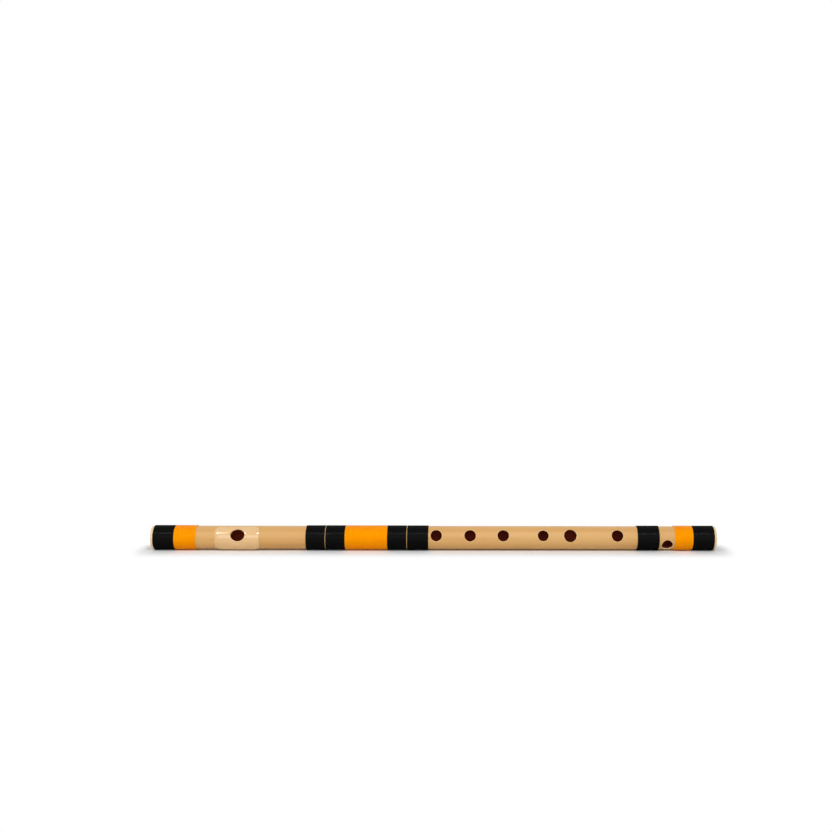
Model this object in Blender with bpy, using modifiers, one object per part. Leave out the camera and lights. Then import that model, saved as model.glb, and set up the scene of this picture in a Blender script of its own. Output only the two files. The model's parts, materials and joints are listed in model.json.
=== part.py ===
"""A side-blown bamboo flute with bound bands of thread, lying on its bindings along X.

The head end, with the blow hole, is at -X and the foot end is at +X. The holes face the front, which
is -Y, and the lowest flats of the bindings lie at Z = 0. Lengths are in metres.
"""

import itertools
import math

import bmesh
import bpy

# The tube.
TUBE_LENGTH = 0.4826
TUBE_DIAMETER = 0.0198
WALL = 0.00225
END_ROUND = 0.0008
BORE_CHAMFER = 0.0003

# The bindings, of one layer of thread, and the bare bamboo between them.
THREAD = 0.00055
WINDING_SHOULDER = 0.0002
SEAT_CLEARANCE = 0.00005
WINDING_GAP = 0.00015
HEAD_RIM = 0.0021
HEAD_BLACK = 0.0177
HEAD_ORANGE = 0.0184
MIDDLE_BLACK_1 = 0.01619
BARE_LINE = 0.0007
MIDDLE_BLACK_2 = 0.0163
MIDDLE_ORANGE = 0.03595
MIDDLE_BLACK_3 = 0.01622
MIDDLE_BLACK_4 = 0.01795
MIDDLE_TO_FIRST_HOLE = 0.0069
FOOT_INNER_BLACK = 0.0185
FOOT_BLACK_TO_FOOT_HOLE = 0.00685
FOOT_HOLE_TO_ORANGE = 0.00645
FOOT_ORANGE = 0.0154
FOOT_END_BLACK = 0.0181
FOOT_RIM = 0.0020

# The holes. A finger hole's place sets its note, so it is a share of the sounding length, from the blow
# hole to the foot end. Their line is tilted up from the horizontal, and the foot hole is turned down.
HEAD_TO_BLOW_HOLE = 0.0744
BLOW_HOLE_LENGTH = 0.0119
BLOW_HOLE_WIDTH = 0.0100
FINGER_HOLE_SHARES = (0.4144, 0.4852, 0.5543, 0.6376, 0.6942, 0.7925)
FINGER_HOLE_DIAMETERS = (0.0097, 0.0098, 0.00975, 0.0093, 0.0108, 0.0099)
FOOT_HOLE_DIAMETER = 0.0094
HOLE_LINE_TILT = math.radians(22.5)
FOOT_HOLE_TURN = math.radians(51)

# The lip plate, whose middle is a little nearer the head than the blow hole is. Its widths run round
# the tube from the blow hole's centre.
LIP_PLATE_LENGTH = 0.0376
LIP_PLATE_SHIFT = 0.0007
LIP_PLATE_ABOVE = 0.0085
LIP_PLATE_BELOW = 0.0162
LIP_PLATE_RISE = 0.0009
LIP_PLATE_CORNER = 0.0050
LIP_PLATE_EDGE = 0.0006

# The stopper inside the head.
STOPPER_LENGTH = 0.0180
STOPPER_TO_BLOW_HOLE = 0.0170
STOPPER_CLEARANCE = 0.00025
STOPPER_CHAMFER = 0.0006

# How finely round shapes are divided.
TUBE_SIDES = 48
HOLE_SIDES = 32
ROUND_STEPS = 3
CORNER_STEPS = 4
SHARP_ANGLE = math.radians(40)
MOST_ROUNDED = 0.8  # of a plate's thickness
MERGE = SEAT_CLEARANCE / 5

TUBE_RADIUS = TUBE_DIAMETER / 2
BORE_RADIUS = TUBE_RADIUS - WALL
SEAT_RADIUS = TUBE_RADIUS + SEAT_CLEARANCE
WINDING_RADIUS = TUBE_RADIUS + THREAD
SIDE_ANGLE = math.tau / TUBE_SIDES
AXIS_HEIGHT = WINDING_RADIUS * math.cos(SIDE_ANGLE / 2)

# Angles are turned about the centre line from straight down, and the front is at minus a quarter turn.
HOLE_LINE = -math.pi / 2 - HOLE_LINE_TILT
FOOT_HOLE_LINE = HOLE_LINE + FOOT_HOLE_TURN


def span_after(before, gap, length):
    """Where a feature starts and ends that begins a gap after another one."""
    start = before[1] + gap
    return start, start + length


def span_before(after, gap, length):
    """Where a feature starts and ends that stops a gap before another one."""
    end = after[0] - gap
    return end - length, end


# Each feature's start and end along the tube, with the head end at 0. The middle bindings are laid out
# back from the first finger hole, and those at the foot back from the foot end.
head_end = (0, 0)
foot_end = (TUBE_LENGTH, TUBE_LENGTH)
blow_hole = HEAD_TO_BLOW_HOLE
finger_holes = [blow_hole + share * (TUBE_LENGTH - blow_hole) for share in FINGER_HOLE_SHARES]
first_hole = (finger_holes[0], finger_holes[0])
head_black = span_after(head_end, HEAD_RIM, HEAD_BLACK)
head_orange = span_after(head_black, WINDING_GAP, HEAD_ORANGE)
middle_black_4 = span_before(first_hole, MIDDLE_TO_FIRST_HOLE, MIDDLE_BLACK_4)
middle_black_3 = span_before(middle_black_4, BARE_LINE, MIDDLE_BLACK_3)
middle_orange = span_before(middle_black_3, WINDING_GAP, MIDDLE_ORANGE)
middle_black_2 = span_before(middle_orange, WINDING_GAP, MIDDLE_BLACK_2)
middle_black_1 = span_before(middle_black_2, BARE_LINE, MIDDLE_BLACK_1)
foot_end_black = span_before(foot_end, FOOT_RIM, FOOT_END_BLACK)
foot_orange = span_before(foot_end_black, WINDING_GAP, FOOT_ORANGE)
foot_hole = foot_orange[0] - FOOT_HOLE_TO_ORANGE
foot_inner_black = span_before((foot_hole, foot_hole), FOOT_BLACK_TO_FOOT_HOLE, FOOT_INNER_BLACK)
lip_plate_start = blow_hole - LIP_PLATE_SHIFT - LIP_PLATE_LENGTH / 2
stopper_start = blow_hole - STOPPER_TO_BLOW_HOLE - STOPPER_LENGTH


def clear_scene():
    for obj in list(bpy.data.objects):
        bpy.data.objects.remove(obj)


def new_collection(name):
    collection = bpy.data.collections.new(name)
    bpy.context.scene.collection.children.link(collection)
    return collection


clear_scene()
parts = new_collection("bansuri")
cutters = new_collection("cutters")


def new_axis():
    """An empty at the head end, on the centre line, whose Z runs to the foot end and whose X points down."""
    axis = bpy.data.objects.new("flute_axis", None)
    axis.location = (-TUBE_LENGTH / 2, 0, AXIS_HEIGHT)
    axis.rotation_euler = (0, math.pi / 2, 0)
    parts.objects.link(axis)
    return axis


flute_axis = new_axis()


def linear(red, green, blue):
    """A colour's linear values from its 8-bit sRGB ones."""
    return [((level / 255 + 0.055) / 1.055) ** 2.4 for level in (red, green, blue)]


def new_material(name, colour, roughness):
    material = bpy.data.materials.new(name)
    material.diffuse_color = (*colour, 1)
    material.use_nodes = True
    shader = material.node_tree.nodes["Principled BSDF"]
    shader.inputs["Base Color"].default_value = (*colour, 1)
    shader.inputs["Roughness"].default_value = roughness
    shader.inputs["Metallic"].default_value = 0
    return material


def new_part(name, shape, along, material):
    """A part of the flute whose origin is on the centre line, at a distance from the head end."""
    mesh = bpy.data.meshes.new(name)
    shape.to_mesh(mesh)
    shape.free()
    mesh.materials.append(material)
    part = bpy.data.objects.new(name, mesh)
    part.parent = flute_axis
    part.location = (0, 0, along)
    parts.objects.link(part)
    return part


def turned(name, profile, along, material, closed=True):
    """A profile of (radius, distance along) points, turned round the centre line.

    It runs to the head end on its outer side. It starts half a side round from straight down, so that
    one flat of every turned part faces down.
    """
    start = SIDE_ANGLE / 2
    shape = bmesh.new()
    points = [
        shape.verts.new((radius * math.cos(start), radius * math.sin(start), distance))
        for radius, distance in profile
    ]
    ring = points + points[:1] if closed else points
    for first, second in itertools.pairwise(ring):
        shape.edges.new((first, second))
    part = new_part(name, shape, along, material)
    screw = part.modifiers.new("turn", "SCREW")
    screw.axis = "Z"
    screw.angle = math.tau
    screw.steps = TUBE_SIDES
    screw.render_steps = TUBE_SIDES
    screw.use_merge_vertices = True
    screw.merge_threshold = MERGE
    return part


def quarter_round(radius, distance, size, start):
    """The points of a rounded edge about a centre, from a start angle through a quarter turn back."""
    angles = [start - math.pi / 2 * step / ROUND_STEPS for step in range(ROUND_STEPS + 1)]
    return [(radius + size * math.cos(angle), distance + size * math.sin(angle)) for angle in angles]


def make_tube(material):
    """The bamboo, open at both ends, with its ends rounded outside and broken inside."""
    rounding = min(END_ROUND, WALL / 2)
    chamfer = min(BORE_CHAMFER, WALL / 4)
    centre = TUBE_RADIUS - rounding
    profile = quarter_round(centre, TUBE_LENGTH - rounding, rounding, math.pi / 2)
    profile += quarter_round(centre, rounding, rounding, 0)
    profile += [
        (BORE_RADIUS + chamfer, 0),
        (BORE_RADIUS, chamfer),
        (BORE_RADIUS, TUBE_LENGTH - chamfer),
        (BORE_RADIUS + chamfer, TUBE_LENGTH),
    ]
    return turned("bamboo_tube", profile, 0, material)


def make_winding(name, span, material):
    """A band of thread wound side by side round the tube, with rounded shoulders."""
    length = span[1] - span[0]
    shoulder = min(WINDING_SHOULDER, (WINDING_RADIUS - SEAT_RADIUS) / 2)
    profile = [
        (WINDING_RADIUS - shoulder, length),
        (WINDING_RADIUS, length - shoulder),
        (WINDING_RADIUS, shoulder),
        (WINDING_RADIUS - shoulder, 0),
        (SEAT_RADIUS, 0),
        (SEAT_RADIUS, length),
    ]
    return turned(name, profile, span[0], material)


def make_stopper(material):
    """The cork that closes the bore beside the blow hole and slides along it to tune the flute."""
    radius = BORE_RADIUS - STOPPER_CLEARANCE
    profile = [
        (0, STOPPER_LENGTH),
        (radius - STOPPER_CHAMFER, STOPPER_LENGTH),
        (radius, STOPPER_LENGTH - STOPPER_CHAMFER),
        (radius, STOPPER_CHAMFER),
        (radius - STOPPER_CHAMFER, 0),
        (0, 0),
    ]
    return turned("stopper_cork", profile, stopper_start, material, closed=False)


def wrapped(rise, around, along):
    """A point of a flat sheet, laid round the tube with the sheet's underside on its seat."""
    turn = HOLE_LINE + around / TUBE_RADIUS
    radius = SEAT_RADIUS + rise
    return radius * math.cos(turn), radius * math.sin(turn), along


def edges_through(shape):
    """The edges of a flat plate that run through its thickness, which is along X."""
    return [edge for edge in shape.edges if abs(edge.verts[0].co.x - edge.verts[1].co.x) > MERGE]


def edges_on_top(shape, thickness):
    """The edges round the upper side of a flat plate."""
    return [edge for edge in shape.edges if all(abs(vert.co.x - thickness) < MERGE for vert in edge.verts)]


def rounded(shape, edges, size, steps):
    bmesh.ops.bevel(shape, geom=edges, offset=size, segments=steps, profile=0.5, affect="EDGES")


def make_lip_plate(material):
    """A thin plate under the player's lip: a flat one with round corners, creased like the tube's sides
    and then wrapped round them."""
    thickness = LIP_PLATE_RISE - SEAT_CLEARANCE
    width = LIP_PLATE_ABOVE + LIP_PLATE_BELOW
    shape = bmesh.new()
    bmesh.ops.create_cube(shape, size=1)
    bmesh.ops.scale(shape, vec=(thickness, width, LIP_PLATE_LENGTH), verts=shape.verts)
    middle = (thickness / 2, (LIP_PLATE_BELOW - LIP_PLATE_ABOVE) / 2, LIP_PLATE_LENGTH / 2)
    bmesh.ops.translate(shape, vec=middle, verts=shape.verts)
    rounded(shape, edges_through(shape), LIP_PLATE_CORNER, CORNER_STEPS)
    rounded(shape, edges_on_top(shape, thickness), min(LIP_PLATE_EDGE, thickness * MOST_ROUNDED), ROUND_STEPS)
    for side in range(-TUBE_SIDES // 2, TUBE_SIDES // 2):
        crease = (side + 0.5) * SIDE_ANGLE * TUBE_RADIUS
        if -LIP_PLATE_ABOVE < crease < LIP_PLATE_BELOW:
            whole = shape.verts[:] + shape.edges[:] + shape.faces[:]
            bmesh.ops.bisect_plane(shape, geom=whole, plane_co=(0, crease, 0), plane_no=(0, 1, 0))
    bmesh.ops.triangulate(shape, faces=shape.faces)
    for vert in shape.verts:
        vert.co = wrapped(*vert.co)
    bmesh.ops.recalc_face_normals(shape, faces=shape.faces)
    return new_part("lip_plate", shape, lip_plate_start, material)


def new_cutter(name, along, turn, length, width):
    """A peg, round or oval, that stands on the centre line and reaches out through the wall."""
    reach = WINDING_RADIUS + LIP_PLATE_RISE
    shape = bmesh.new()
    bmesh.ops.create_cone(
        shape, cap_ends=True, segments=HOLE_SIDES, radius1=0.5, radius2=0.5, depth=reach
    )
    bmesh.ops.scale(shape, vec=(length, width, 1), verts=shape.verts)
    bmesh.ops.translate(shape, vec=(0, 0, reach / 2), verts=shape.verts)
    mesh = bpy.data.meshes.new(name)
    shape.to_mesh(mesh)
    shape.free()
    cutter = bpy.data.objects.new(name, mesh)
    cutter.parent = flute_axis
    cutter.location = (0, 0, along)
    cutter.rotation_euler = (0, math.pi / 2, turn)
    cutter.hide_render = True
    cutter.display_type = "WIRE"
    cutters.objects.link(cutter)
    return cutter


def cut(part, cutter):
    modifier = part.modifiers.new(cutter.name, "BOOLEAN")
    modifier.operation = "DIFFERENCE"
    modifier.solver = "EXACT"
    modifier.object = cutter


def finish(part):
    """Keep what the modifiers make as the part's own mesh, shaded smooth where it is round."""
    graph = bpy.context.evaluated_depsgraph_get()
    mesh = bpy.data.meshes.new_from_object(part.evaluated_get(graph))
    part.modifiers.clear()
    part.data = mesh
    mesh.shade_smooth()
    mesh.set_sharp_from_angle(angle=SHARP_ANGLE)


bamboo = new_material("bamboo", linear(218, 170, 104), 0.45)
orange_thread = new_material("orange_thread", linear(241, 129, 12), 0.55)
black_thread = new_material("black_thread", linear(18, 18, 18), 0.6)
plate_ivory = new_material("plate_ivory", linear(237, 197, 139), 0.25)
cork = new_material("cork", linear(176, 128, 84), 0.85)

tube = make_tube(bamboo)
plate = make_lip_plate(plate_ivory)
blow_cutter = new_cutter("blow_hole_cutter", blow_hole, HOLE_LINE, BLOW_HOLE_LENGTH, BLOW_HOLE_WIDTH)
cut(tube, blow_cutter)
cut(plate, blow_cutter)
for number, (along, size) in enumerate(zip(finger_holes, FINGER_HOLE_DIAMETERS), start=1):
    cut(tube, new_cutter(f"finger_hole_cutter_{number}", along, HOLE_LINE, size, size))
cut(
    tube,
    new_cutter("foot_hole_cutter", foot_hole, FOOT_HOLE_LINE, FOOT_HOLE_DIAMETER, FOOT_HOLE_DIAMETER),
)

make_winding("head_black_binding", head_black, black_thread)
make_winding("head_orange_binding", head_orange, orange_thread)
make_winding("middle_black_binding_1", middle_black_1, black_thread)
make_winding("middle_black_binding_2", middle_black_2, black_thread)
make_winding("middle_orange_binding", middle_orange, orange_thread)
make_winding("middle_black_binding_3", middle_black_3, black_thread)
make_winding("middle_black_binding_4", middle_black_4, black_thread)
make_winding("foot_inner_black_binding", foot_inner_black, black_thread)
make_winding("foot_orange_binding", foot_orange, orange_thread)
make_winding("foot_end_black_binding", foot_end_black, black_thread)
make_stopper(cork)

for part in parts.objects:
    if part.type == "MESH":
        finish(part)
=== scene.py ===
"""A side-blown bamboo flute with bindings of thread, lying on a white studio floor.

Everything is in metres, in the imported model's frame: the head end is at -X, the foot end at +X, the
holes face the front, -Y, and the bindings lie on Z = 0.
"""

import json
import math

import bmesh
import bpy
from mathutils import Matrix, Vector, noise


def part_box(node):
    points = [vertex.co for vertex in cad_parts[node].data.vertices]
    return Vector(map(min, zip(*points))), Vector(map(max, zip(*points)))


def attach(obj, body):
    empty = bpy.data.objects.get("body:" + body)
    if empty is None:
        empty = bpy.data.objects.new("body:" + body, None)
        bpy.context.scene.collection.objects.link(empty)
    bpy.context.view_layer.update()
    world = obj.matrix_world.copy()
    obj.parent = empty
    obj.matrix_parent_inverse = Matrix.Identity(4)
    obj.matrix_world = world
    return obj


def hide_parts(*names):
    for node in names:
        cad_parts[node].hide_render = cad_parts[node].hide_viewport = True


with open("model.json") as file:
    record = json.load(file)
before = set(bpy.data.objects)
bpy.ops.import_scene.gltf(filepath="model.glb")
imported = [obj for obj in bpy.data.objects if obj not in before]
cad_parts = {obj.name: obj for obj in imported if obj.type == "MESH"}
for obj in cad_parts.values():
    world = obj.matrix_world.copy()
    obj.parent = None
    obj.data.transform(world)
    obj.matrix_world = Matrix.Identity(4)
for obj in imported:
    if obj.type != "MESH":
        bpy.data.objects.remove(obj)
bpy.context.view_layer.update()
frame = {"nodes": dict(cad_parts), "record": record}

# The camera stands almost a metre in front of the flute and a forearm's length above it, square to
# it. Its picture is shifted a little, with the flute in the lower half.
CAMERA_PLACE = (0.0188, -0.8996, 0.2021)
CAMERA_LENS = 45.985
CAMERA_SENSOR = 36.0
CAMERA_SHIFT = -0.0480
CAMERA_DOWN = math.radians(5.502)
CAMERA_ROLL = math.radians(-0.077)

camera_data = bpy.data.cameras.new("camera")
camera_data.lens = CAMERA_LENS
camera_data.sensor_width = CAMERA_SENSOR
camera_data.shift_x = CAMERA_SHIFT
camera = bpy.data.objects.new("camera", camera_data)
camera.location = CAMERA_PLACE
camera.rotation_euler = (math.pi / 2 - CAMERA_DOWN, CAMERA_ROLL, 0)
bpy.context.scene.collection.objects.link(camera)
bpy.context.scene.camera = camera


# The tube is one length of bamboo between two knots, so it is open and even from end to end. Its
# skin is scraped and lacquered, and its holes are burnt through with hot rods. The skin is sanded
# off round each hole and at both rims, where the bamboo is painted paler. This is partly the bare
# bamboo's own colour and partly a painted highlight for the light on the eased hole edges and rounded rims.
TUBE_RADIUS = 0.0099
BORE_RADIUS = 0.00765
END_ROUND = 0.0008
BORE_ROUND = 0.0003
FINGER_HOLE_SIZES = (0.0097, 0.0098, 0.00975, 0.0093, 0.0108, 0.0099)
FOOT_HOLE_SIZE = 0.0094
BLOW_HOLE_LENGTH = 0.0119
BLOW_HOLE_WIDTH = 0.0100
HOLE_TURN = math.radians(112.5)
FOOT_HOLE_TURN = math.radians(61.5)
HOLE_EDGE = 0.00015
HOLE_RING = 0.0006
COVERED_EDGE = 0.00005
TUBE_SIDES = 96
WINDOW_SIDES = 32
WINDOW_COLUMNS = 16
WINDOW_LENGTH = 0.016
WINDOW_RINGS = 7
WINDOW_CROWDING = 1.3
WINDOW_START = math.radians(240)
PLAIN_COLUMN = 0.008
EDGE_STEPS = 5
WALL_STEPS = 4
SHARP = math.radians(50)

BAMBOO = (211, 161, 94)
BAMBOO_STREAK = (204, 151, 84)
BAMBOO_PALE = (216, 169, 104)
BAMBOO_FLECK = (176, 124, 70)
# The pale cut colour is also painted on the rims, where it is partly a painted highlight.
BAMBOO_CUT_AND_HIGHLIGHT = (236, 203, 150)
# The ring round each hole is painted paler: bare sanded bamboo, and a painted highlight for the light on the
# eased hole edges.
BAMBOO_SANDED_HIGHLIGHT = (230, 188, 130)
BAMBOO_PORE = (140, 96, 56)
BURNT = (84, 26, 4)
BORE = (140, 42, 1)
WALL_PALE = 0.0005
WALL_BURNT = 0.0009
RIM = 0.0019
RIM_BLUR = 0.0002
CUT_FACE = (0.0004, 0.0001)
BORE_SKIN = (0.0001, 0.0004)
STREAKS = (0.3, 0.62)

tube_low, tube_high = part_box("bamboo_tube")
axis_height = (tube_low.z + tube_high.z) / 2
half_length = (tube_high.x - tube_low.x) / 2
side_step = math.tau / TUBE_SIDES


def on_tube(along, turn, radius):
    """A point round the centre line, turned from straight down through the front."""
    return along, -radius * math.sin(turn), axis_height - radius * math.cos(turn)


def middle(opening):
    """How far along X one of the record's openings is centred."""
    for stated in frame["record"]["physics"]["openings"]:
        if stated["name"] == opening:
            low, high = stated["box_m"]
            return (low[0] + high[0]) / 2
    raise KeyError(opening)


class Hole:
    """A straight hole through the wall, square to it, round or drawn out along the tube."""

    def __init__(self, opening, turn, length, width, edge):
        self.along = middle(opening)
        self.turn = turn
        self.length = length
        self.width = width
        self.edge = edge

    def oval(self, angle, out):
        """How far along and across from its middle a point of its outline is."""
        along = (self.length / 2 + out) * math.cos(angle)
        across = (self.width / 2 + out) * math.sin(angle)
        return along, across

    def wall_point(self, angle, out, sink, radius):
        """A point of its wall, sunk below a round surface."""
        along, across = self.oval(angle, out)
        height = math.sqrt(radius**2 - across**2) - sink
        side, depth = math.sin(self.turn), math.cos(self.turn)
        return (
            self.along + along,
            -height * side - across * depth,
            axis_height - height * depth + across * side,
        )

    def rings(self, point):
        """Whether a point of the outer wall lies in the ring round it that is sanded and painted paler as a
        highlight.
        """
        depth, height = -point.y, axis_height - point.z
        across = TUBE_RADIUS * (math.atan2(depth, height) - self.turn)
        along = (point.x - self.along) / (self.length / 2 + HOLE_RING)
        near = math.hypot(along, across / (self.width / 2 + HOLE_RING)) < 1
        return near and math.hypot(depth, height) > TUBE_RADIUS - HOLE_EDGE / 2

    def skin_point(self, angle, out, radius):
        """How far along and how far turned the outline is where it meets a round surface."""
        along, across = self.oval(angle, out)
        return self.along + along, self.turn + math.asin(across / radius)


blow_hole = Hole("blow_hole", HOLE_TURN, BLOW_HOLE_LENGTH, BLOW_HOLE_WIDTH, COVERED_EDGE)
foot_hole = Hole("foot_hole", FOOT_HOLE_TURN, FOOT_HOLE_SIZE, FOOT_HOLE_SIZE, HOLE_EDGE)
holes = [blow_hole]
for number, size in enumerate(FINGER_HOLE_SIZES, start=1):
    holes.append(Hole(f"finger_hole_{number}", HOLE_TURN, size, size, HOLE_EDGE))
holes.append(foot_hole)


def spread(start, end, longest):
    """Even steps from a start up to, but not at, an end."""
    count = max(1, math.ceil((end - start) / longest))
    return [start + (end - start) * step / count for step in range(count)]


columns = []
window_starts = []
reached = END_ROUND - half_length
for hole in holes:
    window = hole.along - WINDOW_LENGTH / 2
    columns += spread(reached, window, PLAIN_COLUMN)
    window_starts.append(len(columns))
    reached = window + WINDOW_LENGTH
    columns += spread(window, reached, WINDOW_LENGTH / WINDOW_COLUMNS)
columns += spread(reached, half_length - END_ROUND, PLAIN_COLUMN)
columns.append(half_length - END_ROUND)


def join_rings(shape, first, second):
    """Quads between two closed rings of as many vertices."""
    for here in range(len(first)):
        ahead = (here + 1) % len(first)
        shape.faces.new((first[here], first[ahead], second[ahead], second[here]))


def join_all(shape, rings):
    for first, second in zip(rings, rings[1:]):
        join_rings(shape, first, second)


def window_walk(start, hole):
    """The column and side of each point round a hole's window, in the order of the hole's angles."""
    low = round(hole.turn / side_step) - WINDOW_SIDES // 2
    high, end = low + WINDOW_SIDES, start + WINDOW_COLUMNS
    walk = [(column, low) for column in range(start, end)]
    walk += [(end, side) for side in range(low, high)]
    walk += [(column, high) for column in range(end, start, -1)]
    walk += [(start, side) for side in range(high, low, -1)]
    return walk


window_angles = [WINDOW_START + side_step * step for step in range(TUBE_SIDES)]


def make_skin(shape, radius, edge_out):
    """A round wall with a window round each hole, filled with rings that run in to the hole's edge."""
    grid = [
        [shape.verts.new(on_tube(along, side * side_step, radius)) for side in range(TUBE_SIDES)]
        for along in columns
    ]
    windowed = set()
    inner_rings = []
    for start, hole in zip(window_starts, holes):
        walk = window_walk(start, hole)
        low = min(side for column, side in walk)
        windowed |= {
            (column, side)
            for column in range(start, start + WINDOW_COLUMNS)
            for side in range(low, low + WINDOW_SIDES)
        }
        for column in range(start + 1, start + WINDOW_COLUMNS):
            for side in range(low + 1, low + WINDOW_SIDES):
                shape.verts.remove(grid[column][side])
        rings = [[grid[column][side] for column, side in walk]]
        for step in range(WINDOW_RINGS - 1, -1, -1):
            share = (step / WINDOW_RINGS) ** WINDOW_CROWDING
            ring = []
            for (column, side), angle in zip(walk, window_angles):
                along, turn = hole.skin_point(angle, edge_out(hole), radius)
                along += (columns[column] - along) * share
                turn += (side * side_step - turn) * share
                ring.append(shape.verts.new(on_tube(along, turn, radius)))
            rings.append(ring)
        join_all(shape, rings)
        inner_rings.append(rings[-1])
    for column in range(len(columns) - 1):
        for side in range(TUBE_SIDES):
            if (column, side) not in windowed:
                ahead = (side + 1) % TUBE_SIDES
                here, there = grid[column], grid[column + 1]
                shape.faces.new((here[side], here[ahead], there[ahead], there[side]))
    return grid[0], grid[-1], inner_rings


def arc(size, start, end, steps):
    """Points of a rounded edge about its own centre, from one angle to another."""
    angles = [start + (end - start) * step / steps for step in range(steps + 1)]
    return [(size * math.cos(angle), size * math.sin(angle)) for angle in angles]


def make_end(shape, outer, inner, direction):
    """A cut end of the tube, rounded outside and eased inside."""
    rings = [outer]
    profile = [
        (TUBE_RADIUS - END_ROUND + up, half_length - END_ROUND + out)
        for up, out in arc(END_ROUND, 0, math.pi / 2, EDGE_STEPS)
    ]
    profile += [
        (BORE_RADIUS + BORE_ROUND + up, half_length - BORE_ROUND + out)
        for up, out in arc(BORE_ROUND, math.pi / 2, math.pi, EDGE_STEPS)
    ]
    for radius, along in profile[1:]:
        ring = [on_tube(direction * along, side * side_step, radius) for side in range(TUBE_SIDES)]
        rings.append([shape.verts.new(point) for point in ring])
    rings.append(inner)
    join_all(shape, rings)


def make_tube():
    shape = bmesh.new()
    head, foot, hole_edges = make_skin(shape, TUBE_RADIUS, lambda hole: hole.edge)
    bore_head, bore_foot, bore_edges = make_skin(shape, BORE_RADIUS, lambda hole: 0)
    make_end(shape, head, bore_head, -1)
    make_end(shape, foot, bore_foot, 1)
    for hole, outer, inner in zip(holes, hole_edges, bore_edges):
        rings = [outer]
        for up, out in arc(hole.edge, math.pi / 2, 0, EDGE_STEPS)[1:]:
            points = [
                hole.wall_point(angle, hole.edge - up, hole.edge - out, TUBE_RADIUS)
                for angle in window_angles
            ]
            rings.append([shape.verts.new(point) for point in points])
        for step in range(1, WALL_STEPS):
            share = step / WALL_STEPS
            points = [
                Vector(first.co).lerp(last.co, share) for first, last in zip(rings[EDGE_STEPS], inner)
            ]
            rings.append([shape.verts.new(point) for point in points])
        rings.append(inner)
        join_all(shape, rings)
    for face in shape.faces:
        face.material_index = any(hole.rings(face.calc_center_median()) for hole in holes)
    return shape


def new_piece(name, shape, *finishes):
    """A piece with that shape and its finishes, shaded smooth but for its sharp edges."""
    bmesh.ops.recalc_face_normals(shape, faces=shape.faces)
    mesh = bpy.data.meshes.new(name)
    shape.to_mesh(mesh)
    shape.free()
    mesh.shade_smooth()
    mesh.set_sharp_from_angle(angle=SHARP)
    for finish in finishes:
        mesh.materials.append(finish)
    piece = bpy.data.objects.new(name, mesh)
    bpy.context.scene.collection.objects.link(piece)
    return piece


def stand_for(piece, node, body):
    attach(piece, body)
    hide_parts(node)


def linear(colour):
    """A colour's linear values from its 8-bit sRGB ones."""
    return [((level / 255 + 0.055) / 1.055) ** 2.4 for level in colour]


def plug(tree, node, sockets):
    """Give a node's sockets their values, or the links that bring them."""
    for name, value in sockets.items():
        if isinstance(value, Shade):
            tree.links.new(value.socket, node.inputs[name])
        else:
            node.inputs[name].default_value = value


class Shade:
    """A value that changes over a surface. Python's operators on it add the Math nodes for the sum."""

    def __init__(self, tree, socket=None):
        self.tree = tree
        self.socket = socket

    def node(self, kind, settings, sockets, output=0):
        """Any other node, given its settings and then the values or links of its sockets."""
        node = self.tree.nodes.new(kind)
        for name, setting in settings.items():
            setattr(node, name, setting)
        plug(self.tree, node, sockets)
        return Shade(self.tree, node.outputs[output])

    def sum(self, operation, first, second):
        return self.node("ShaderNodeMath", {"operation": operation}, {0: first, 1: second})

    def __add__(self, other):
        return self.sum("ADD", self, other)

    def __sub__(self, other):
        return self.sum("SUBTRACT", self, other)

    def __rsub__(self, other):
        return self.sum("SUBTRACT", other, self)

    def __mul__(self, other):
        return self.sum("MULTIPLY", self, other)

    __radd__ = __add__


def new_finish(name):
    """A material, and a value that its expressions start from."""
    finish = bpy.data.materials.new(name)
    finish.use_nodes = True
    return finish, Shade(finish.node_tree)


def set_finish(finish, sockets):
    plug(finish.node_tree, finish.node_tree.nodes["Principled BSDF"], sockets)


def place_in(shade):
    """Where a point of the piece is, in metres."""
    return shade.node("ShaderNodeTexCoord", {}, {}, "Object")


def scaled(place, scale):
    return place.node("ShaderNodeVectorMath", {"operation": "MULTIPLY"}, {0: place, 1: scale})


def cloudy(place, scale, detail, roughness=0.5):
    """Soft noise from 0 to 1, about as many times a metre as its scale."""
    sockets = {"Vector": place, "Scale": scale, "Detail": detail, "Roughness": roughness}
    return place.node("ShaderNodeTexNoise", {}, sockets, "Fac")


def ease(value, low, high):
    """Smoothly from 0 at one value to 1 at another."""
    settings = {"interpolation_type": "SMOOTHSTEP"}
    sockets = {"Value": value, "From Min": low, "From Max": high}
    return value.node("ShaderNodeMapRange", settings, sockets)


def blended(share, first, second):
    """A colour between two others. Each is an 8-bit sRGB one or a shade."""
    colours = [colour if isinstance(colour, Shade) else (*linear(colour), 1) for colour in (first, second)]
    return share.node("ShaderNodeMix", {"data_type": "RGBA"}, {0: share, 6: colours[0], 7: colours[1]}, 2)


def raised(height, distance):
    """A Normal from small bumps, of which a height of 1 is that many metres."""
    return height.node("ShaderNodeBump", {}, {"Height": height, "Distance": distance})


def from_axis(place):
    """How far a point is from the tube's centre line."""
    across = scaled(place, (0, 1, 1))
    axis = (0, 0, axis_height)
    centred = place.node("ShaderNodeVectorMath", {"operation": "SUBTRACT"}, {0: across, 1: axis})
    return place.node("ShaderNodeVectorMath", {"operation": "LENGTH"}, {0: centred}, "Value")


def strands_in(place):
    """The bamboo's coarse strands, drawn out along the tube."""
    return cloudy(scaled(place, (0.02, 1, 1)), 380, 2)


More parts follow.
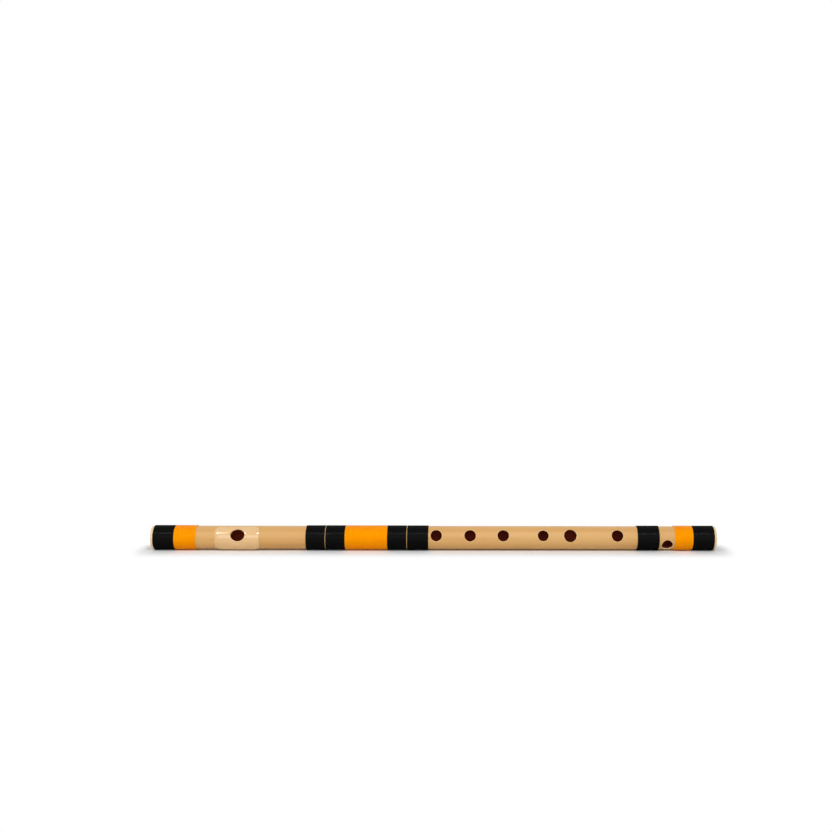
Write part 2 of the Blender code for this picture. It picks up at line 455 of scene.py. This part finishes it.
def make_bamboo():
    """Lacquered skin with fine fibres, rims painted pale as bare bamboo with a painted highlight, pored cut
    ends, burnt hole walls and an oiled bore.
    """
    finish, start = new_finish("lacquered_bamboo")
    place = place_in(start)
    radius = from_axis(place)
    along = place.node("ShaderNodeSeparateXYZ", {}, {0: place}, "X")
    fibres = cloudy(scaled(place, (0.012, 1, 1)), 1500, 3, 0.6)
    strands = strands_in(place)
    tone = cloudy(scaled(place, (0.3, 1, 1)), 38, 2)
    flecks = cloudy(scaled(place, (0.05, 1, 1)), 900, 2)
    skin = blended(ease(strands * 0.6 + fibres * 0.4, *STREAKS), BAMBOO_STREAK, BAMBOO)
    skin = blended(ease(tone, 0.35, 0.75) * 0.8, skin, BAMBOO_PALE)
    skin = blended(ease(flecks, 0.7, 0.78) * 0.5, skin, BAMBOO_FLECK)
    drawn_out = scaled(place, (0.02, 1, 1))
    pores = place.node("ShaderNodeTexVoronoi", {}, {"Vector": drawn_out, "Scale": 1900}, "Distance")
    cut = blended(1 - ease(pores, 0.18, 0.34), BAMBOO_CUT_AND_HIGHLIGHT, BAMBOO_PORE)
    outward = along.sum("ABSOLUTE", along, 0)
    end = ease(outward, half_length - CUT_FACE[0], half_length - CUT_FACE[1])
    # The skin near each end is painted pale cream: bare cut bamboo, with a painted highlight for the light on
    # the rounded rim.
    rim = ease(outward, half_length - RIM - RIM_BLUR, half_length - RIM)
    skin = blended(rim, skin, BAMBOO_CUT_AND_HIGHLIGHT)
    outer = ease(radius, TUBE_RADIUS - HOLE_EDGE / 2, TUBE_RADIUS - HOLE_EDGE / 8)
    unburnt = ease(radius, TUBE_RADIUS - WALL_BURNT, TUBE_RADIUS - WALL_PALE)
    wall = blended(end, blended(unburnt, BURNT, BAMBOO_CUT_AND_HIGHLIGHT), cut)
    above_bore = ease(radius, BORE_RADIUS + BORE_SKIN[0], BORE_RADIUS + BORE_SKIN[1])
    inside = blended(above_bore, BORE, wall)
    colour = blended(outer, inside, skin)
    rough = 0.85 - outer * 0.45 + fibres * 0.08
    bumps = raised(strands * 0.7 + fibres * 0.3, 0.000012)
    set_finish(finish, {"Base Color": colour, "Roughness": rough, "Normal": bumps, "IOR": 1.45})
    return finish


def make_sanded_highlight():
    """Bare bamboo where the lacquered skin is cut back round a hole, painted paler as well for a highlight on
    the eased edge.
    """
    finish, start = new_finish("sanded_bamboo")
    strands = strands_in(place_in(start))
    # The ring's colour is paler than the skin: bare sanded bamboo, with a painted highlight for the light on
    # the eased hole edges.
    colour = blended(ease(strands, *STREAKS), BAMBOO_PALE, BAMBOO_SANDED_HIGHLIGHT)
    set_finish(finish, {"Base Color": colour, "Roughness": 0.5, "IOR": 1.45})
    return finish


tube = new_piece("bamboo_body", make_tube(), make_bamboo(), make_sanded_highlight())
stand_for(tube, "bamboo_tube", "flute")


# The lip plate is a thin pale plate of polished horn-like plastic, heated, bent round the tube and
# glued on. Its ends and sides are buffed almost down to the bamboo, and the blow hole is cut
# through both.
PLATE_RISE = 0.0009
PLATE_SEAT = 0.00003
PLATE_SIDE = 0.00022
PLATE_ROLL = 0.0036
PLATE_SIDE_ROLL = 0.0010
PLATE_CORNER = 0.0050
PLATE_ABOVE = 0.0085
PLATE_BELOW = 0.0162
BLOW_EDGE = 0.0006
PLATE_ALONG_STEPS = 20
PLATE_ROUND_STEPS = 20
PLATE_CORNER_STEPS = 6
PLATE_ROLL_STEPS = 7
PLATE_FLAT_STEPS = 7

PLATE = (229, 188, 130)
PLATE_CLOUD = (225, 182, 121)

plate_low, plate_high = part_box("lip_plate")


def plate_outline(inset):
    """Points round the plate as (along, down), drawn in from its outline and rounded at its corners.

    Its upper and lower edges are drawn in less than its ends, as they roll over in a shorter way.
    """
    side_inset = inset * PLATE_SIDE_ROLL / PLATE_ROLL
    left, right = plate_low.x + inset, plate_high.x - inset
    top, bottom = side_inset - PLATE_ABOVE, PLATE_BELOW - side_inset
    corner, side_corner = PLATE_CORNER - inset, PLATE_CORNER - side_inset
    points = []
    for x, y, first, count in (
        (right, bottom, 0, PLATE_ALONG_STEPS),
        (left, bottom, 1, PLATE_ROUND_STEPS),
        (left, top, 2, PLATE_ALONG_STEPS),
        (right, top, 3, PLATE_ROUND_STEPS),
    ):
        middle_x = x - math.copysign(corner, x - blow_hole.along)
        middle_y = y - math.copysign(side_corner, y)
        quarter = arc(1, first * math.pi / 2, (first + 1) * math.pi / 2, PLATE_CORNER_STEPS)
        points.append(([(middle_x + corner * px, middle_y + side_corner * py) for px, py in quarter], count))
    ring = []
    for (quarter, count), (following, _) in zip(points, points[1:] + points[:1]):
        ring += quarter[:-1]
        start, end = Vector(quarter[-1]), Vector(following[0])
        ring += [tuple(start.lerp(end, step / count)) for step in range(count)]
    return ring


def on_plate(along, down, rise):
    return on_tube(along, HOLE_TURN - down / TUBE_RADIUS, TUBE_RADIUS + rise)


def plate_hole(directions, out, rise):
    """The blow hole's outline at a height above the tube, towards each point of a ring."""
    ring = []
    for along, down in directions:
        angle = math.atan2(down / blow_hole.width, (along - blow_hole.along) / blow_hole.length)
        reach, across = blow_hole.oval(angle, out)
        ring.append((blow_hole.along + reach, TUBE_RADIUS * math.asin(across / (TUBE_RADIUS + rise))))
    return ring


def between(first, second, share):
    return [tuple(Vector(a).lerp(b, share)) for a, b in zip(first, second)]


def make_plate():
    outline = plate_outline(0)
    rings = [[on_plate(*point, PLATE_SEAT) for point in outline]]
    for step in range(PLATE_ROLL_STEPS + 1):
        share = step / PLATE_ROLL_STEPS
        rise = PLATE_SIDE + (PLATE_RISE - PLATE_SIDE) * (1 - (1 - share) ** 2)
        rings.append([on_plate(*point, rise) for point in plate_outline(PLATE_ROLL * share)])
    inner = plate_outline(PLATE_ROLL)
    edge = plate_hole(inner, BLOW_EDGE, PLATE_RISE)
    for step in range(1, PLATE_FLAT_STEPS + 1):
        ring = between(inner, edge, step / PLATE_FLAT_STEPS)
        rings.append([on_plate(*point, PLATE_RISE) for point in ring])
    for up, out in arc(BLOW_EDGE, math.pi / 2, 0, EDGE_STEPS)[1:]:
        rise = PLATE_RISE - BLOW_EDGE + out
        rings.append([on_plate(*point, rise) for point in plate_hole(inner, BLOW_EDGE - up, rise)])
    below = plate_hole(inner, 0, PLATE_SEAT)
    rings.append([on_plate(*point, PLATE_SEAT) for point in below])
    for step in range(1, PLATE_FLAT_STEPS):
        ring = between(below, outline, step / PLATE_FLAT_STEPS)
        rings.append([on_plate(*point, PLATE_SEAT) for point in ring])
    shape = bmesh.new()
    rings = [[shape.verts.new(point) for point in ring] for ring in rings]
    join_all(shape, rings + rings[:1])
    return shape


def make_ivory():
    """Polished pale plastic, faintly clouded like horn."""
    finish, start = new_finish("polished_ivory_plastic")
    place = place_in(start)
    clouds = cloudy(scaled(place, (0.5, 1, 1)), 160, 3)
    scuffs = cloudy(place, 2200, 2)
    colour = blended(ease(clouds, 0.35, 0.7), PLATE_CLOUD, PLATE)
    sockets = {
        "Base Color": colour,
        "Roughness": 0.07 + scuffs * 0.03,
        "Normal": raised(clouds, 0.000008),
        "IOR": 1.75,
    }
    set_finish(finish, sockets)
    return finish


plate = new_piece("lip_plate_polished", make_plate(), make_ivory())
stand_for(plate, "lip_plate", "flute")


# Each binding is one length of shiny twisted thread, wound turn against turn round the bamboo, with
# both tails drawn under it. The bindings keep the tube from splitting, and are glued down.
THREAD = 0.00055
SEAM = 0.00015
TURN_STEPS = 48
THREAD_SIDES = tuple(math.radians(angle) for angle in (0, 45, 90, 180, 270, 315))
THREAD_START = math.radians(270)
TAIL = 8
TAIL_DIP = 2.2
PLIES = 260

ORANGE = (254, 166, 2)
ORANGE_DEEP = (251, 156, 1)
ORANGE_EDGE = (190, 118, 2)
BLACK = (5, 5, 5)
BLACK_WORN = (7, 7, 7)


def make_thread(node):
    """The thread's whole helix over a binding's length, six-sided, with its tails dipping under."""
    low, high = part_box(node)
    first, last = low.x - SEAM / 2, high.x + SEAM / 2
    turns = round((last - first) / THREAD)
    radius = (last - first) / turns / 2
    steps = turns * TURN_STEPS
    shape = bmesh.new()
    rings = []
    for step in range(steps + 1):
        along = first + (last - first) * step / steps
        turn = THREAD_START + math.tau * step / TURN_STEPS
        sunk = max(0, TAIL - step, TAIL - (steps - step)) / TAIL
        lift = TUBE_RADIUS + radius - TAIL_DIP * radius * sunk
        ring = [
            on_tube(along + radius * math.sin(angle), turn, lift + radius * math.cos(angle))
            for angle in THREAD_SIDES
        ]
        rings.append([shape.verts.new(point) for point in ring])
    join_all(shape, rings)
    shape.faces.new(rings[0])
    shape.faces.new(rings[-1])
    return shape


def make_thread_finish(name, deep, bright, rough, sheen):
    """Twisted thread, whose plies cross it slantwise and whose tone shifts a little from turn to turn."""
    finish, start = new_finish(name)
    place = place_in(start)
    across = scaled(place, (1, 0.02, 0.02))
    turns = cloudy(across, 2600, 1)
    soft = cloudy(place, 120, 2)
    parts = [place.node("ShaderNodeSeparateXYZ", {}, {0: place}, axis) for axis in "XYZ"]
    along, depth, height = parts
    turn = along.sum("ARCTAN2", depth, height - axis_height)
    plies = along.sum("SINE", turn * PLIES + along * (math.tau / THREAD), 0)
    colour = blended(ease(turns * 0.6 + soft * 0.4, 0.35, 0.65), deep, bright)
    sockets = {"Base Color": colour, "Roughness": rough + turns * 0.1, "Normal": raised(plies, 0.00001)}
    set_finish(finish, sockets | sheen)
    return finish


# The orange thread is silky and gleams in its own colour. The black one has only a thin grey gloss.
orange_sheen = {"Metallic": 0.12, "Specular IOR Level": 0.05, "Specular Tint": (*linear(ORANGE_EDGE), 1)}
black_sheen = {"Specular IOR Level": 0, "Coat Weight": 0.042, "Coat IOR": 2.4, "Coat Roughness": 0.17}
orange_thread = make_thread_finish("orange_thread_finish", ORANGE_DEEP, ORANGE, 0.16, orange_sheen)
black_thread = make_thread_finish("black_thread_finish", BLACK, BLACK_WORN, 0.6, black_sheen)
threads = {"orange": orange_thread, "black": black_thread}

for node in frame["nodes"]:
    if "binding" in node:
        colour = "orange" if "orange" in node else "black"
        band = new_piece(node.replace("binding", "thread"), make_thread(node), threads[colour])
        stand_for(band, node, "flute")


# The stopper is a plug of natural cork in the head of the bore, turned a little tapered at its ends.
# It is pushed along with a rod until the flute is in tune, and friction holds it.
CORK_SIDES = 96
CORK_EDGE = 0.0006
CORK_RINGS = 36
CORK_FACE_RINGS = 16
CORK_PIT = 0.00025
CORK_PITS = ((700, 0.25, 1), (1900, 0.3, 0.5))

CORK = (182, 134, 88)
CORK_DARK = (120, 80, 48)

cork_low, cork_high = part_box("stopper_cork")


def make_cork():
    radius = (cork_high.y - cork_low.y) / 2
    length = cork_high.x - cork_low.x
    profile = [(radius - CORK_EDGE) * ring / CORK_FACE_RINGS for ring in range(1, CORK_FACE_RINGS)]
    profile = [(ring, 0) for ring in profile]
    profile += [
        (radius - CORK_EDGE + up, CORK_EDGE - out) for out, up in arc(CORK_EDGE, math.pi / 2, 0, EDGE_STEPS)
    ]
    half = (length - 2 * CORK_EDGE) / 2
    profile += [(radius, CORK_EDGE + half * ring / (CORK_RINGS // 2)) for ring in range(1, CORK_RINGS // 2)]
    mirrored = [(ring, length - along) for ring, along in reversed(profile)]
    middle_ring = [(radius, length / 2)]
    shape = bmesh.new()
    rings = []
    for ring_radius, along in profile + middle_ring + mirrored:
        ring = []
        for side in range(CORK_SIDES):
            point = Vector(on_tube(cork_low.x + along, math.tau * side / CORK_SIDES, ring_radius))
            pit = sum(
                max(0, noise.noise(point * scale) - level) * share for scale, level, share in CORK_PITS
            )
            axis = Vector((cork_low.x + length / 2, 0, axis_height))
            ring.append(shape.verts.new(point.lerp(axis, CORK_PIT * pit / radius)))
        rings.append(ring)
    join_all(shape, rings)
    for ring in (rings[0], rings[-1]):
        centre = sum((vert.co for vert in ring), Vector()) / CORK_SIDES
        tip = shape.verts.new(centre)
        for here in range(CORK_SIDES):
            shape.faces.new((ring[here], ring[(here + 1) % CORK_SIDES], tip))
    return shape


def make_cork_finish():
    """Matt cork, mottled, with dark pores."""
    finish, start = new_finish("natural_cork")
    place = place_in(start)
    grain = cloudy(place, 520, 4, 0.6)
    pores = cloudy(scaled(place, (0.6, 1, 1)), 1100, 2)
    colour = blended(ease(grain, 0.3, 0.55), CORK_DARK, CORK)
    colour = blended(ease(pores, 0.66, 0.72), colour, CORK_DARK)
    bumps = raised(grain - ease(pores, 0.64, 0.72), 0.00012)
    set_finish(finish, {"Base Color": colour, "Roughness": 0.85, "Normal": bumps, "Specular IOR Level": 0.25})
    return finish


cork = new_piece("cork_plug", make_cork(), make_cork_finish())
stand_for(cork, "stopper_cork", "stopper")


# The studio is a white table and a white surround, both white to the camera and in the gloss. The
# table shows the flute's soft shadow, which ends sooner past the flute's two ends, and no shade of
# its own. Two keys, a front light and a back light are soft boxes.
FLOOR_DROP = 0.00003
FLOOR_SIZE = 8.0
FLOOR_GREY = (231, 231, 231)
FLOOR_SHOWN = (246, 247, 248)
FLOOR_NEAR = 0.010
FLOOR_FAR = 0.036
FLOOR_END = 2.0
FILL = 0.38
LAMPS = (
    ((-0.585, -0.66, 0.83), 0.32, 0.27, 3.0),
    ((0.17, -0.66, 0.83), 0.2, 0.18, 3.1),
    ((0.1, -1.4, 0.5), 1.6, 0.8, 5.3),
    ((0, 0.8, 0.8), 1.6, 0.5, 2.0),
)


def seen_directly(shade):
    """1 where a ray comes from the camera, a gloss or a glass, and 0 in the light that things get."""
    outputs = ("Is Camera Ray", "Is Glossy Ray", "Is Transmission Ray")
    camera_ray, glossy, clear = [shade.node("ShaderNodeLightPath", {}, {}, output) for output in outputs]
    return shade.sum("MAXIMUM", camera_ray.sum("MAXIMUM", camera_ray, glossy), clear)


def make_floor():
    shape = bmesh.new()
    bmesh.ops.create_grid(shape, x_segments=1, y_segments=1, size=FLOOR_SIZE / 2)
    finish, start = new_finish("white_table")
    place = place_in(start)
    along, across = [place.node("ShaderNodeSeparateXYZ", {}, {0: place}, axis) for axis in "XY"]
    beyond = along.sum("MAXIMUM", along.sum("ABSOLUTE", along, 0) - half_length, 0) * FLOOR_END
    distance = along.sum("SQRT", beyond * beyond + across * across, 0)
    seen = seen_directly(start)
    tree = finish.node_tree
    tree.nodes.remove(tree.nodes["Principled BSDF"])
    lit = start.node("ShaderNodeBsdfDiffuse", {}, {"Color": blended(seen, FLOOR_GREY, FLOOR_SHOWN)})
    white = start.node("ShaderNodeEmission", {}, {"Color": (1, 1, 1, 1), "Strength": 1.0})
    share = seen * ease(distance, FLOOR_NEAR, FLOOR_FAR)
    surface = start.node("ShaderNodeMixShader", {}, {0: share, 1: lit, 2: white})
    tree.links.new(surface.socket, tree.nodes["Material Output"].inputs["Surface"])
    floor = new_piece("table", shape, finish)
    floor.location.z = -FLOOR_DROP


def make_surround():
    world = bpy.data.worlds.new("surround")
    world.use_nodes = True
    start = Shade(world.node_tree)
    seen = seen_directly(start)
    strength = seen + (1 - seen) * FILL
    plug(world.node_tree, world.node_tree.nodes["Background"], {"Color": (1, 1, 1, 1), "Strength": strength})
    bpy.context.scene.world = world


def make_softbox(place, width, height, power):
    lamp_data = bpy.data.lights.new("softbox", "AREA")
    lamp_data.shape = "RECTANGLE"
    lamp_data.size = width
    lamp_data.size_y = height
    lamp_data.energy = power
    lamp = bpy.data.objects.new("softbox", lamp_data)
    lamp.location = place
    lamp.rotation_euler = (-Vector(place)).to_track_quat("-Z", "Y").to_euler()
    bpy.context.scene.collection.objects.link(lamp)


make_floor()
make_surround()
for lamp in LAMPS:
    make_softbox(*lamp)
bpy.context.scene.view_settings.view_transform = "Standard"
